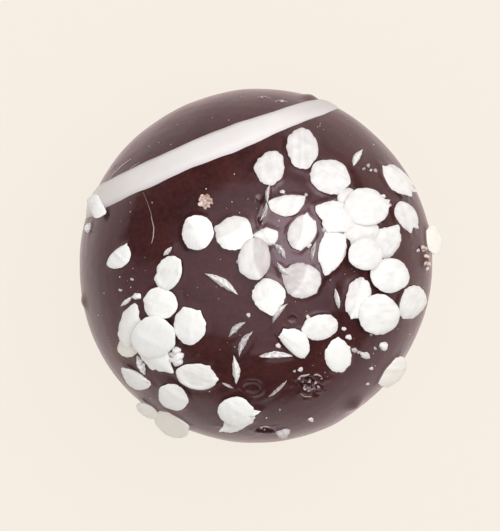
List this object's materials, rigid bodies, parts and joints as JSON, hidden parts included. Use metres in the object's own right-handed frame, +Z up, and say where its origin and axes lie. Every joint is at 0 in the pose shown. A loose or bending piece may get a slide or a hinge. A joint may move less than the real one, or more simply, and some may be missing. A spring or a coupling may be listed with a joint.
{
  "type": "coconut candy",
  "caption": "Round glossy dark chocolate candy on a flat base, with one white chocolate stripe and dried coconut flakes strewn over its top.",
  "frame": {"origin": "middle of the flat base", "axes": "+Z up through the crown, +Y towards the side that the white stripe crosses"},
  "size_m": [0.0309, 0.0302, 0.0248],
  "materials": {
    "chocolate": "glossy dark chocolate",
    "white_chocolate": "satin white chocolate",
    "coconut": "dry white coconut"
  },
  "bodies": {
    "root": {"coconut_candy": "chocolate"}
  },
  "joints": []
}
